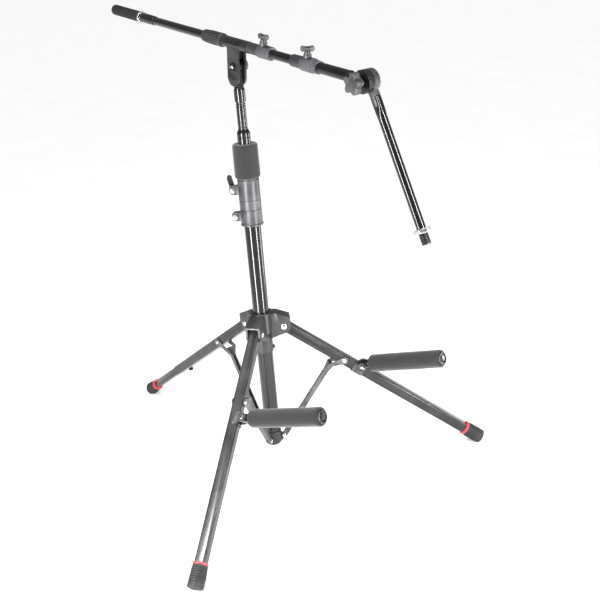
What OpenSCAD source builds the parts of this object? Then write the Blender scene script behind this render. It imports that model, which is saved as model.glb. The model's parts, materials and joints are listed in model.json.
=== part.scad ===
// Tripod boom microphone stand with two padded support arms.
// Millimetres, +Z up, -Y is the side that the boom reaches over.
// The mast stands upright; the model is shifted along Y so that the middle of its
// outline lies over the origin.

/* [Lower mast] */
// Outside diameter of the lower mast tube
mast_d = 32; // [28:1:36]
// Wall of the lower mast tube
mast_wall = 1.8; // [1.2:0.1:2.4]
// Height of the lower tube's bottom end above the floor
mast_bottom = 56; // [50:1:70]
// Length of the lower mast tube
mast_len = 510; // [420:5:700]

/* [Riser] */
// Room between the riser and the mast's bore, filled by the guide
guide_room = 1.7; // [1.2:0.1:3]
// Wall of the riser
riser_wall = 1.5; // [1.2:0.1:2.2]
// Length of the riser's wide stretch that shows above the mast clamp
riser_show = 86; // [60:1:140]
// Length of the riser that stays inside the mast when it is down
riser_inside = 490; // [380:5:500]
// Diameter of the riser's swaged top
swage_d = 18; // [15:0.5:20]
// Length of the swaged top
swage_len = 47; // [35:1:70]
// Diameter of the foam pad round the riser
pad_d = 49; // [40:1:60]
// Length of the foam pad
pad_len = 65; // [40:1:80]

/* [Mast clamp] */
// Wall of the mast clamp over the mast tube
clamp_wall = 4.75; // [3.5:0.05:8]
// Length of the mast clamp
clamp_len = 92; // [80:1:120]
// Compass angle of the clamp's lugs
lug_angle = 142; // [0:1:359]

/* [Hub and legs] */
// Height of the leg pivots above the floor
hub_z = 315; // [300:1:340]
// Distance of the leg pivots from the mast tube's skin
pivot_out = 26; // [25:0.5:32]
// Distance that the hub slides up the mast to fold the legs
fold_travel = 106; // [100:1:112]
// Width of the square leg tube
leg_w = 21; // [18:0.5:23]
// Wall of the leg tube
leg_wall = 1.5; // [1:0.1:2]
// Distance of the front feet from the mast axis
front_foot_r = 439; // [400:1:480]
// Distance of the rear foot from the mast axis
rear_foot_r = 504; // [480:1:540]
// Angle between each front leg and the forward direction
front_spread = 56.3; // [50:0.1:62]
// Length of the rear leg's outer tube beyond its pivot
rear_tube_len = 378; // [340:1:400]
// Diameter of a rubber foot at the floor
foot_d = 30; // [26:1:36]
// Length of a rubber foot
foot_len = 44; // [38:1:60]

/* [Struts] */
// Distance of the struts' lower pivots from the mast tube's skin
strut_out = 7; // [6.5:0.1:8]
// Height of the struts' lower pivots above the floor
strut_z = 66; // [62:1:72]
// Depth of a strut bar
strut_depth = 10; // [8:0.5:10]
// Width of a strut bar
strut_w = 9; // [8:0.5:11]

/* [Support arms] */
// Distance along each front leg from its pivot to the arm bracket
arm_place = 183; // [178:1:230]
// Reach of each arm from its own pivot to the end of its cap
arm_len = 190; // [120:1:205]
// Diameter of the arm tube
arm_tube_d = 16; // [12:0.5:18]
// Diameter of the foam grip
grip_d = 35.5; // [26:0.5:38]
// Length of the foam grip
grip_len = 166; // [90:1:178]
// Roll of the left arm's bracket about its leg
left_roll = 23.5; // [0:0.5:50]
// Roll of the right arm's bracket about its leg
right_roll = 45.5; // [0:0.5:50]
// Swing of the left arm from square towards the foot
left_swing = 5; // [0:1:60]
// Swing of the right arm from square towards the foot
right_swing = 24.5; // [0:1:60]

/* [Boom] */
// Downward slope of the boom towards the front
boom_slope = 6.9; // [0:0.1:20]
// Height of the boom axis above its tilt pivot
boom_rise = 39.7; // [36:0.1:50]
// Diameter of the boom tube
boom_d = 15.8; // [13:0.1:17]
// Wall of the front tube that slides over the boom tube
front_wall = 1.4; // [1:0.1:2.5]
// Wall of the boom sleeve
sleeve_wall = 2.5; // [2:0.1:5]
// Reach of the boom behind its tilt pivot
rear_reach = 431; // [380:1:480]
// Reach of the boom in front of its tilt pivot, to the elbow
front_reach = 346; // [330:1:400]
// Diameter of the counterweight
weight_d = 21; // [19:0.5:30]
// Length of the counterweight
weight_len = 104; // [80:1:120]

/* [End arm] */
// Distance from the elbow to the tip of the microphone stud
end_len = 272; // [200:1:320]
// Diameter of the end arm tube
end_d = 15.6; // [12:0.1:18]
// Forward lean of the end arm from straight down
end_lean = 24.6; // [0:0.1:60]
// Diameter of the elbow's friction discs
disc_d = 38; // [32:1:44]
// Diameter of the microphone stud, over its thread
stud_d = 15.875; // [9.525:0.0005:15.875]
// Length of the stud's thread
stud_len = 19; // [12:1:25]

/* [Hidden] */
$fn = 64;

// Clearances
slide_gap = 0.1;     // radial, between tubes that telescope and round moving shafts
side_gap = 0.4;      // between faces that pass each other
foam_gap = 0.5;      // between foam and a neighbour that moves
pin_gap = 0.05;      // radial, between a pivot pin and its hole

// Mast
mast_r = mast_d / 2;
mast_bore = mast_r - mast_wall;
mast_top = mast_bottom + mast_len;
strut_r = mast_r + strut_out;
clamp_r = mast_r + clamp_wall;
bracket_r = mast_r + 1.5;
bracket_top = strut_z + 16;
bracket_low = mast_bottom - 6;
clamp_foot = 37;                         // length of the clamp that grips the mast tube
clamp_bottom = mast_top - clamp_foot;
clamp_top = clamp_bottom + clamp_len;
clamp_neck_r = clamp_r - 2.4;            // the bands sit in grooves this deep
band_gap = 1;
clamp_ridge = 18;                        // plain stretch between the two bands
lug_bolt_r = clamp_r + 10.5;
lug_end_r = clamp_r + 17;
lug_w = 13;
lug_h = 17;
lug_slot = 3;
lug_bolt_d = 6;
lever_len = 27;
head_t = 4;
lever_hub_t = 8;
low_band = [clamp_bottom + 4, mast_top - 5];
high_band = [mast_top - 5 + clamp_ridge, clamp_top - 2];
band_mid = [for (b = [low_band, high_band]) (b[0] + b[1]) / 2];

// Riser
riser_r = mast_bore - guide_room;
riser_bottom = mast_top - riser_inside + clamp_foot;
riser_taper_z = clamp_top + riser_show;
riser_taper = 7;
riser_top = riser_taper_z + riser_taper + swage_len;
guide_len = 30;
pad_z = clamp_top + foam_gap;

// Hub
pivot_r = mast_r + pivot_out;
hub_bore = mast_r + slide_gap;
hub_ring_r = mast_r + 7.5;
hub_sleeve_r = mast_r + 1.9;
hub_ring_low = -15;
hub_ring_high = leg_w / 2 + 22.5;
hub_sleeve_low = -52;
hub_screw_z = hub_z + hub_sleeve_low + 7;
cheek_t = 4;
cheek_r = 14;
cheek_front = pivot_r + cheek_r;
cheek_low = 22;                          // cheeks and roof, measured from the pivots' height
roof_high = leg_w / 2 + 19.5;
roof_end = leg_w / 2 + 8;
roof_low = leg_w / 2 + 4.8;
roof_r = pivot_r - 14;                   // the roof starts to slope here
hub_screw_angle = -35;
cheek_in = leg_w / 2 + side_gap;
pin_d = 7;
rivet_head_d = 12;
rivet_head_h = 2.4;

// Legs: [compass angle, foot distance]
left_angle = -90 - front_spread;
right_angle = -90 + front_spread;
rear_angle = 90;
leg_angles = [left_angle, right_angle, rear_angle];
foot_z = 9;                              // height of the centre of a foot's end
leg_r = 4;                               // outside corner radius of the leg tube
leg_back = 10;                           // tube beyond the pivot, inside the hub
ext_w = leg_w - 2 * leg_wall - 2 * slide_gap;
ext_inside = 70;
foot_edge = 8.3;                         // how far a foot's heel reaches beyond its foot distance
front_leg_len = leg_len(front_foot_r);
rear_leg_len = leg_len(rear_foot_r);
rear_knob_x = rear_tube_len - 22;
rear_screw_d = 5;
foot_grip = 12;                          // tube inside the rubber foot
ring_len = 4;
tube_in_foot = foot_grip + ring_len;

// Struts
strut_hole_d = 5;
strut_step = pivot_r - strut_r;          // a folded leg's pin is this far outside the bar
ear_t = 5;
strut_wall = (strut_w - ear_t) / 2 - side_gap / 2;
fork_t = 2;
fork_r = 8;
fork_in = leg_w / 2 + side_gap;
bar_clear = 21;                          // from the end of the bar to the strut's leg pin
fork_run = 18;                           // length over which the bar spreads into its fork
strut_head_h = 2;

// Arms
arm_ear_gap = 10;
arm_ear_t = 2.4;
bracket_t = 2;
bracket_len = 24;
arm_ear_r = 9;
arm_offset = leg_w / 2 + 12.5;                       // from the leg's axis to the arm's pivot
arm_tongue_r = 8;
arm_bolt_d = 6;
arm_cap_t = 3;

// Boom
yoke_rise = 68;
yoke_z = riser_top + yoke_rise;
yoke_low = 4;
spigot_len = 30;
yoke_tongue = 10;
yoke_gap = 1;                            // washer on each side of the tongue
plate_t = 3.5;
plate_r = 16.5;
plate_low = 36;
plate_in = yoke_tongue / 2 + yoke_gap;
plate_out = plate_in + plate_t;
lever_boss_t = 9;
lever_r = 23;                            // the crescent lever's outer edge
tilt_bolt_d = 8;
yoke_sleeve_r = swage_d / 2 + 1.5;
boom_r = boom_d / 2;
boom_bore_r = boom_r + slide_gap;
sleeve_r = boom_bore_r + sleeve_wall;
sleeve_d = 2 * sleeve_r;
front_d = 2 * (boom_bore_r + front_wall);
sleeve_back = 57;
sleeve_front = 41;
clutch_back = 99;
clutch_over = 19;
clamp_r_out = boom_r + 4.1;
clamp_back = 2.2;                        // how much slimmer a boom clamp is at its back
boss_h = 4;
boom_clamp_len = 64;
clamp_knob_x = 81;
front_clamp_x = 164;
front_clamp_len = 55;
front_ring_len = 14;
front_knob_x = 201;
knob_stem_d = 6;
boom_tube_front = 292;
elbow_plug = 46;
front_tube_end = front_reach - elbow_plug + 6;
weight_collar_len = 54;

// Elbow: places along X
disc_r = disc_d / 2;
disc_t = 11;
base_x = -11;                            // outer face of the boom's disc
washer_t = 1;
arm_disc_x = base_x + disc_t + washer_t;
arm_x = arm_disc_x + disc_t / 2;
elbow_bolt_d = 8;
knob_x = base_x - 9;                     // face of the star knob next to the disc
knob_t = 14;
knob_r = 18;
lobe_r = 5.5;
knob_lobes = 5;
hex_w = 26;
hex_t = 7;
tube_from = disc_r + 8;
tube_to = end_len - stud_len - hex_t;

// Outline of the whole stand along Y, for the shift to its middle
rear_edge = rear_foot_r + foot_edge;
tip_y = -(front_reach * cos(boom_slope) - boom_rise * sin(boom_slope) + end_len * sin(end_lean));
front_edge = tip_y - stud_d / 2 * cos(end_lean);
shift_y = -(rear_edge + front_edge) / 2;

function leg_slope(foot_r) = atan((hub_z - foot_z) / (foot_r - pivot_r));
function leg_len(foot_r) = norm([foot_r - pivot_r, hub_z - foot_z]);
// Place of the strut pin on a leg, so that the leg hangs straight down at the end of the fold.
function strut_place(foot_r) =
    let (slope = leg_slope(foot_r), drop = hub_z - strut_z)
    (fold_travel * fold_travel + 2 * drop * fold_travel)
    / (2 * fold_travel + 2 * drop * (1 - sin(slope)) + 2 * strut_step * cos(slope));
function strut_pin_x(foot_r) = pivot_r + strut_place(foot_r) * cos(leg_slope(foot_r));
function strut_pin_z(foot_r) = hub_z - strut_place(foot_r) * sin(leg_slope(foot_r));
function strut_span(foot_r) = norm([strut_pin_x(foot_r) - strut_r, strut_pin_z(foot_r) - strut_z]);
function strut_along(foot_r) = sqrt(pow(strut_span(foot_r), 2) - strut_step * strut_step);
function strut_lean(foot_r) =
    atan((strut_pin_x(foot_r) - strut_r) / (strut_pin_z(foot_r) - strut_z))
    - asin(strut_step / strut_span(foot_r));

module in_frame() {
    translate([0, shift_y, 0]) children();
}

// A leg's own frame: X along the leg from its pivot, Y across, Z off its upper face.
module on_leg(angle, foot_r) {
    rotate([0, 0, angle]) translate([pivot_r, 0, hub_z]) rotate([0, leg_slope(foot_r), 0]) children();
}

// A strut's own frame: X along the bar from its lower pivot, Y across, Z towards the leg's pin.
module on_strut(angle, foot_r) {
    rotate([0, 0, angle]) translate([strut_r, 0, strut_z])
        rotate([0, strut_lean(foot_r) - 90, 0]) mirror([0, 0, 1]) children();
}

// The boom's frame at the tilt pivot: X forward along the boom, Y to the stand's right.
module on_boom() {
    translate([0, 0, yoke_z]) rotate([0, 0, -90]) rotate([0, boom_slope, 0]) children();
}

// The boom's axis, with X forward from above the tilt pivot.
module on_boom_axis() {
    on_boom() translate([0, 0, boom_rise]) children();
}

// The elbow's frame: X down the end arm, Y to the stand's right.
module on_elbow() {
    on_boom_axis() translate([front_reach, 0, 0]) rotate([0, 90 - end_lean - boom_slope, 0]) children();
}

// A leg with an arm bracket: Y points to the arm's side on both front legs.
module on_arm_leg(side) {
    if (side == "left") on_leg(left_angle, front_foot_r) children();
    else on_leg(right_angle, front_foot_r) mirror([0, 1, 0]) children();
}

// The arm's swing plane: X along the leg, Y out towards the arm, Z along the pivot bolt.
module on_arm_plane(side) {
    on_arm_leg(side) translate([arm_place, 0, 0])
        rotate([side == "left" ? left_roll : right_roll, 0, 0]) children();
}

// The arm's own frame: X along the arm from its pivot bolt.
module on_arm(side) {
    on_arm_plane(side) translate([0, arm_offset, 0])
        rotate([0, 0, 90 - (side == "left" ? left_swing : right_swing)]) children();
}

module round_square(w, r) {
    s = w / 2 - r;
    square([w, 2 * s], center = true);
    square([2 * s, w], center = true);
    for (x = [-s, s], y = [-s, s]) translate([x, y]) circle(r, $fn = 32);
}

// A round bar or hole along X.
module rod(d, from, to) {
    translate([from, 0, 0]) rotate([0, 90, 0]) cylinder(d = d, h = to - from);
}

// A round bar or hole across Y, centred.
module cross_rod(d, len) {
    rotate([90, 0, 0]) cylinder(d = d, h = len, center = true);
}

// A flat piece in the XZ plane, standing from y0 to y1.
module plate_xz(y0, y1) {
    translate([0, y1, 0]) rotate([90, 0, 0]) linear_extrude(y1 - y0) children();
}

// A turned piece along X from points of [distance, radius].
module turned_x(points) {
    rotate([0, 90, 0]) rotate_extrude() polygon([for (p = points) [p[1], p[0]]]);
}

module tube(d, wall, len) {
    difference() {
        cylinder(d = d, h = len);
        translate([0, 0, -1]) cylinder(d = d - 2 * wall, h = len + 2);
    }
}

module square_tube(w, r, wall, from, to) {
    translate([from, 0, 0]) rotate([90, 0, 90]) linear_extrude(to - from) difference() {
        round_square(w, r);
        round_square(w - 2 * wall, r - wall);
    }
}

// ---- Lower mast ----

module mast_tube() {
    color([0.09, 0.09, 0.1]) translate([0, 0, mast_bottom]) tube(mast_d, mast_wall, mast_len);
}

module strut_bracket() {
    ear_end = strut_r + strut_hole_d / 2 + 2.8;
    color([0.2, 0.2, 0.21]) difference() {
        union() {
            translate([0, 0, bracket_low]) rotate_extrude() polygon([
                [0, 0], [mast_r - 7, 0], [mast_r - 2, 2], [bracket_r, 6],
                [bracket_r, bracket_top - bracket_low], [0, bracket_top - bracket_low]
            ]);
            for (a = leg_angles) rotate([0, 0, a]) plate_xz(-ear_t / 2, ear_t / 2) {
                polygon([
                    [mast_r, strut_z - 12], [strut_r, strut_z - (ear_end - strut_r)],
                    [strut_r, strut_z + ear_end - strut_r], [mast_r, strut_z + 10]
                ]);
                translate([strut_r, strut_z]) circle(ear_end - strut_r);
            }
        }
        translate([0, 0, mast_bottom]) cylinder(r = mast_r, h = mast_len);
        for (a = leg_angles)
            rotate([0, 0, a]) translate([strut_r, 0, strut_z]) cross_rod(strut_hole_d, 20);
    }
}

module headed_pin(d, grip, head_d, head_h) {
    cross_rod(d, grip);
    for (s = [-1, 1]) translate([0, s * (grip + head_h) / 2, 0]) cross_rod(head_d, head_h);
}

module strut_base_pins() {
    color([0.75, 0.76, 0.78]) for (a = leg_angles)
        rotate([0, 0, a]) translate([strut_r, 0, strut_z])
            headed_pin(strut_hole_d, strut_w + side_gap, 8, strut_head_h);
}

module clamp_groove(from, to) {
    translate([0, 0, from]) difference() {
        cylinder(r = clamp_r + 3, h = to - from);
        translate([0, 0, -1]) cylinder(r = clamp_neck_r, h = to - from + 2);
    }
}

module mast_clamp_body() {
    color([0.36, 0.36, 0.38]) difference() {
        union() {
            translate([0, 0, clamp_bottom]) cylinder(r = clamp_r, h = clamp_len);
            translate([0, 0, clamp_bottom]) cylinder(r = clamp_r + 1, h = 3);
        }
        translate([0, 0, clamp_bottom - 1]) cylinder(r = mast_r, h = mast_top - clamp_bottom + 1);
        cylinder(r = riser_r + slide_gap, h = clamp_top + 1);
        clamp_groove(low_band[0], low_band[1]);
        clamp_groove(high_band[0], clamp_top + 1);
    }
}

module split_band(z0, z1) {
    mid = (z0 + z1) / 2;
    difference() {
        union() {
            translate([0, 0, z0]) cylinder(r = clamp_r, h = z1 - z0);
            translate([0, -lug_w / 2, mid - lug_h / 2]) cube([lug_end_r - lug_h / 2, lug_w, lug_h]);
            translate([lug_end_r - lug_h / 2, 0, mid]) cross_rod(lug_h, lug_w);
        }
        translate([0, 0, z0 - 1]) cylinder(r = clamp_neck_r, h = z1 - z0 + 2);
        translate([0, -lug_slot / 2, z0 - 1]) cube([lug_end_r + 1, lug_slot, z1 - z0 + 2]);
        translate([lug_bolt_r, 0, mid]) cross_rod(lug_bolt_d, lug_w + 2);
    }
}

module mast_clamp_bands() {
    color([0.4, 0.4, 0.42]) rotate([0, 0, lug_angle]) {
        split_band(low_band[0] + band_gap / 2, low_band[1] - band_gap / 2);
        split_band(high_band[0] + band_gap / 2, high_band[1] - band_gap / 2);
    }
}

module hex_head(w, h) {
    rotate([90, 0, 0]) cylinder(d = w / cos(30), h = h, center = true, $fn = 6);
}

// The low bolt has a head and a nut; the high one's far end carries the lever.
module mast_clamp_bolts() {
    color([0.78, 0.79, 0.8]) rotate([0, 0, lug_angle])
        for (i = [0, 1]) translate([lug_bolt_r, 0, band_mid[i]]) {
        tail = i == 0 ? lug_w / 2 : lug_w / 2 + lever_hub_t;
        translate([0, (lug_w / 2 - tail) / 2, 0]) cross_rod(lug_bolt_d, lug_w / 2 + tail);
        translate([0, (lug_w + head_t) / 2, 0]) hex_head(10, head_t);
        if (i == 0) translate([0, -(lug_w + head_t) / 2, 0]) hex_head(10, head_t);
    }
}

module mast_clamp_lever() {
    color([0.12, 0.12, 0.13]) rotate([0, 0, lug_angle])
        translate([lug_bolt_r, -lug_w / 2 - side_gap / 2 - lever_hub_t / 2, band_mid[1]]) difference() {
            union() {
                cross_rod(14, lever_hub_t - side_gap);
                rotate([0, 12, 0]) plate_xz(-2.5, 2.5) {
                    translate([-5, 0]) square([10, lever_len - 5]);
                    translate([0, lever_len - 5]) circle(5, $fn = 32);
                }
            }
            cross_rod(lug_bolt_d + 2 * pin_gap, lever_hub_t + 2);
        }
}

// ---- Riser ----

module riser_tube() {
    wide = riser_taper_z - riser_bottom;
    inner = riser_r - riser_wall;
    top_r = swage_d / 2;
    color([0.08, 0.08, 0.09]) translate([0, 0, riser_bottom]) rotate_extrude() polygon([
        [inner, 0], [riser_r, 0], [riser_r, wide], [top_r, wide + riser_taper],
        [top_r, wide + riser_taper + swage_len], [top_r - riser_wall, wide + riser_taper + swage_len],
        [top_r - riser_wall, wide + riser_taper], [inner, wide]
    ]);
}

module riser_guide() {
    color([0.15, 0.15, 0.16]) translate([0, 0, riser_bottom]) difference() {
        cylinder(r = mast_bore - slide_gap, h = guide_len);
        translate([0, 0, -1]) cylinder(r = riser_r, h = guide_len + 2);
    }
}

module mast_pad() {
    color([0.22, 0.22, 0.23]) translate([0, 0, pad_z]) difference() {
        cylinder(d = pad_d, h = pad_len);
        translate([0, 0, -1]) cylinder(r = riser_r, h = pad_len + 2);
    }
}

// ---- Hub ----

module hub_housing() {
    inner = hub_sleeve_r - 3;
    for (y = [cheek_in, -cheek_in - cheek_t]) plate_xz(y, y + cheek_t)
        translate([0, hub_z]) {
            polygon([
                [inner, -cheek_low], [inner, roof_high], [roof_r, roof_high],
                [cheek_front, roof_end], [cheek_front, 0], [pivot_r, -cheek_r]
            ]);
            translate([pivot_r, 0]) circle(cheek_r);
        }
    plate_xz(-cheek_in - 1, cheek_in + 1) translate([0, hub_z]) polygon([
        [inner, roof_low], [inner, roof_high], [roof_r, roof_high],
        [cheek_front, roof_end], [cheek_front, roof_low]
    ]);
}

module leg_hub() {
    color([0.25, 0.25, 0.26]) difference() {
        union() {
            translate([0, 0, hub_z]) rotate_extrude() polygon([
                [0, hub_sleeve_low], [hub_sleeve_r, hub_sleeve_low], [hub_sleeve_r, hub_ring_low],
                [hub_ring_r, hub_ring_low + 6], [hub_ring_r, hub_ring_high - 2],
                [hub_ring_r - 2, hub_ring_high], [0, hub_ring_high]
            ]);
            for (a = leg_angles) rotate([0, 0, a]) hub_housing();
        }
        translate([0, 0, hub_z + hub_sleeve_low - 1]) cylinder(r = hub_bore, h = 200);
        for (a = leg_angles)
            rotate([0, 0, a]) translate([pivot_r, 0, hub_z]) cross_rod(pin_d, 60);
        hub_screw_shape();
    }
}

// A set screw in the hub's sleeve that keeps the hub where it is on the mast.
module hub_screw_shape() {
    rotate([0, 0, hub_screw_angle]) translate([0, 0, hub_screw_z])
        rod(5, hub_bore + 0.3, hub_sleeve_r + 0.5);
}

module hub_screw() {
    color([0.12, 0.12, 0.13]) {
        hub_screw_shape();
        rotate([0, 0, hub_screw_angle]) translate([0, 0, hub_screw_z])
            rod(8, hub_sleeve_r + 0.2, hub_sleeve_r + 3);
    }
}

module leg_pivot_pins() {
    color([0.75, 0.76, 0.78]) for (a = leg_angles)
        rotate([0, 0, a]) translate([pivot_r, 0, hub_z])
            headed_pin(pin_d, 2 * (cheek_in + cheek_t), rivet_head_d, rivet_head_h);
}

// ---- Legs ----

module leg_tube(angle, foot_r, len) {
    color([0.1, 0.1, 0.11]) on_leg(angle, foot_r) difference() {
        square_tube(leg_w, leg_r, leg_wall, -leg_back, len);
        cross_rod(pin_d + 2 * pin_gap, leg_w + 2);
    }
}

module leg_tube_left() {
    leg_tube(left_angle, front_foot_r, front_leg_len - foot_len + tube_in_foot);
}

module leg_tube_right() {
    leg_tube(right_angle, front_foot_r, front_leg_len - foot_len + tube_in_foot);
}

module leg_tube_rear() {
    color([0.1, 0.1, 0.11]) on_leg(rear_angle, rear_foot_r) difference() {
        square_tube(leg_w, leg_r, leg_wall, -leg_back, rear_tube_len);
        cross_rod(pin_d + 2 * pin_gap, leg_w + 2);
        translate([rear_knob_x, -leg_w / 2, 0]) cross_rod(rear_screw_d, leg_w);
    }
}

module rear_extension() {
    color([0.1, 0.1, 0.11]) on_leg(rear_angle, rear_foot_r)
        square_tube(ext_w, leg_r - leg_wall, leg_wall, rear_tube_len - ext_inside,
            rear_leg_len - foot_len + tube_in_foot);
}

// A thumb screw in the rear leg's side; its shank stops short of the tube that it presses on.
module rear_leg_knob() {
    wing_half = 14;
    wing_t = 8;
    color([0.12, 0.12, 0.13]) on_leg(rear_angle, rear_foot_r)
        translate([rear_knob_x, -leg_w / 2, 0]) rotate([90, 0, 0]) {
            translate([0, 0, 0.1 - leg_wall]) cylinder(d = rear_screw_d - 2 * pin_gap, h = leg_wall + 4);
            translate([0, 0, side_gap]) cylinder(d = 10, h = 5 - side_gap);
            translate([0, 0, 4]) linear_extrude(wing_t) {
                square([5, 2 * wing_half - wing_t], center = true);
                for (s = [-1, 1]) translate([0, s * (wing_half - wing_t / 2)]) circle(wing_t / 2, $fn = 32);
            }
        }
}

// Rubber foot: a ribbed, flared shoe, cut flat where it meets the floor.
module foot(angle, foot_r, tube_w) {
    end = leg_len(foot_r);
    start = end - foot_len + ring_len;
    rib = 4;
    ribs = floor((foot_len - ring_len - 14) / rib);
    top_r = tube_w / 2 + 3.8;
    flare = (foot_d / 2 - top_r) / (end - start);
    color([0.13, 0.13, 0.14]) difference() {
        on_leg(angle, foot_r) difference() {
            turned_x(concat(
                [[start, 0], [start, top_r]],
                [for (i = [0:ribs - 1], k = [0, 1])
                    let (d = 5 + i * rib + k * rib / 2)
                    [start + d, top_r + flare * d + (k == 0 ? 0.4 : -0.7)]],
                [[end - 5, foot_d / 2], [end - 1, foot_d / 2], [end, foot_d / 2 - 1.5], [end, 0]]
            ));
            translate([start - 1, 0, 0]) rotate([90, 0, 90]) linear_extrude(foot_grip + 1) intersection() {
                square(tube_w, center = true);
                round_square(tube_w, leg_r - (leg_w - tube_w) / 2);
            }
        }
        translate([-1000, -1000, -100]) cube([2000, 2000, 100]);
    }
}

module foot_ring(angle, foot_r, tube_w) {
    start = leg_len(foot_r) - foot_len;
    color([0.8, 0.15, 0.2]) on_leg(angle, foot_r) difference() {
        rod(tube_w + 8.4, start, start + ring_len);
        translate([start - 1, 0, 0]) rotate([90, 0, 90]) linear_extrude(ring_len + 2)
            round_square(tube_w, leg_r - (leg_w - tube_w) / 2);
    }
}

module foot_left() {
    foot(left_angle, front_foot_r, leg_w);
}

module foot_right() {
    foot(right_angle, front_foot_r, leg_w);
}

module foot_rear() {
    foot(rear_angle, rear_foot_r, ext_w);
}

module foot_ring_left() {
    foot_ring(left_angle, front_foot_r, leg_w);
}

module foot_ring_right() {
    foot_ring(right_angle, front_foot_r, leg_w);
}

module foot_ring_rear() {
    foot_ring(rear_angle, rear_foot_r, ext_w);
}

// ---- Struts ----

// A channel bar whose end spreads into a stepped fork that straddles the leg.
module strut(angle, foot_r) {
    far = strut_along(foot_r);
    bar_end = far - bar_clear;
    half = strut_depth / 2;
    spread = fork_in + fork_t;
    color([0.17, 0.17, 0.18]) on_strut(angle, foot_r) difference() {
        union() {
            plate_xz(-strut_w / 2, strut_w / 2) {
                translate([0, -half]) square([bar_end, strut_depth]);
                circle(half);
            }
            translate([0, 0, -half]) linear_extrude(strut_depth) polygon([
                [bar_end - fork_run, -strut_w / 2], [bar_end - fork_run, strut_w / 2],
                [bar_end - fork_t, spread], [bar_end, spread],
                [bar_end, -spread], [bar_end - fork_t, -spread]
            ]);
            for (y = [fork_in, -spread]) plate_xz(y, y + fork_t) {
                polygon([
                    [bar_end - fork_t, -half], [bar_end, -half],
                    [far + fork_r * 0.8, strut_step - fork_r * 0.6],
                    [far - fork_r * 0.8, strut_step + fork_r * 0.6],
                    [bar_end, half], [bar_end - fork_t, half]
                ]);
                translate([far, strut_step]) circle(fork_r);
            }
        }
        translate([-half - 1, -strut_w / 2 + strut_wall, -half - 1])
            cube([bar_end - fork_run + half - 2, strut_w - 2 * strut_wall, strut_depth - strut_wall + 1]);
        translate([-half - 1, -strut_w / 2 + strut_wall, -half - 1])
            cube([14 + half, strut_w - 2 * strut_wall, strut_depth + 2]);
        cross_rod(strut_hole_d + 2 * pin_gap, strut_w + 2);
        translate([far, 0, strut_step]) cross_rod(strut_hole_d, 60);
    }
}

// Rivets in the fork's cheeks.
module strut_pin(angle, foot_r) {
    color([0.8, 0.81, 0.82]) on_strut(angle, foot_r) translate([strut_along(foot_r), 0, strut_step])
        for (s = [-1, 1]) {
            translate([0, s * (fork_in + fork_t / 2), 0]) cross_rod(strut_hole_d, fork_t);
            translate([0, s * (fork_in + fork_t + strut_head_h / 2), 0]) cross_rod(9, strut_head_h);
        }
}

module strut_left() {
    strut(left_angle, front_foot_r);
}

module strut_right() {
    strut(right_angle, front_foot_r);
}

module strut_rear() {
    strut(rear_angle, rear_foot_r);
}

module strut_pin_left() {
    strut_pin(left_angle, front_foot_r);
}

module strut_pin_right() {
    strut_pin(right_angle, front_foot_r);
}

module strut_pin_rear() {
    strut_pin(rear_angle, rear_foot_r);
}

// ---- Support arms ----

// A saddle on the arm's side of the leg, with the two ears that the arm turns between.
module arm_bracket(side) {
    ear_mid = (arm_ear_gap + arm_ear_t) / 2;
    color([0.16, 0.16, 0.17]) difference() {
        union() {
            on_arm_leg(side) translate([arm_place - bracket_len / 2, 0, 0]) rotate([90, 0, 90])
                linear_extrude(bracket_len) round_square(leg_w + 2 * bracket_t, leg_r + bracket_t);
            on_arm_plane(side) for (s = [-1, 1])
                translate([0, 0, s * ear_mid]) linear_extrude(arm_ear_t, center = true) {
                    translate([-arm_ear_r, 0]) square([2 * arm_ear_r, arm_offset]);
                    translate([0, arm_offset]) circle(arm_ear_r);
                }
        }
        on_arm_leg(side) translate([arm_place - bracket_len, 0, 0]) rotate([90, 0, 90])
            linear_extrude(2 * bracket_len) round_square(leg_w, leg_r);
        on_arm_leg(side) translate([arm_place - bracket_len, -leg_w, -leg_w])
            cube([2 * bracket_len, leg_w, 2 * leg_w]);
        on_arm_plane(side) translate([0, arm_offset, 0]) {
            cylinder(r = arm_tongue_r + 1.5, h = arm_ear_gap, center = true);
            cylinder(d = arm_bolt_d, h = 60, center = true);
        }
    }
}

module arm_bolt(side) {
    stack = arm_ear_gap + 2 * arm_ear_t;
    color([0.8, 0.81, 0.82]) on_arm_plane(side) translate([0, arm_offset, 0]) {
        cylinder(d = arm_bolt_d, h = stack, center = true);
        translate([0, 0, stack / 2]) cylinder(d = 11, h = 3);
        translate([0, 0, -stack / 2 - 4]) cylinder(d = 10 / cos(30), h = 4, $fn = 6);
    }
}

module arm_tube(side) {
    color([0.09, 0.09, 0.1]) on_arm(side) difference() {
        union() {
            linear_extrude(arm_ear_gap - side_gap, center = true) {
                circle(arm_tongue_r);
                translate([0, -arm_tongue_r]) square([20, 2 * arm_tongue_r]);
            }
            rod(arm_tube_d, 16, arm_len - arm_cap_t);
        }
        rod(arm_tube_d - 3, 24, arm_len);
        cylinder(d = arm_bolt_d + 2 * pin_gap, h = 30, center = true);
    }
}

module arm_grip(side) {
    color([0.24, 0.24, 0.25]) on_arm(side) difference() {
        rod(grip_d, arm_len - arm_cap_t - grip_len, arm_len - arm_cap_t);
        rod(arm_tube_d, 0, arm_len);
    }
}

module arm_cap(side) {
    tip = arm_len - arm_cap_t;
    color([0.14, 0.14, 0.15]) on_arm(side) turned_x([
        [tip - 12, 0], [tip - 12, arm_tube_d / 2 - 1.5], [tip, arm_tube_d / 2 - 1.5], [tip, grip_d / 2 - 5],
        [tip + 2, grip_d / 2 - 5], [tip + 3, grip_d / 2 - 6], [tip + 3, grip_d / 2 - 8],
        [tip + 1, grip_d / 2 - 8.5], [tip + 1, 0]
    ]);
}

module arm_bracket_left() {
    arm_bracket("left");
}

module arm_bracket_right() {
    arm_bracket("right");
}

module arm_bolt_left() {
    arm_bolt("left");
}

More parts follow.
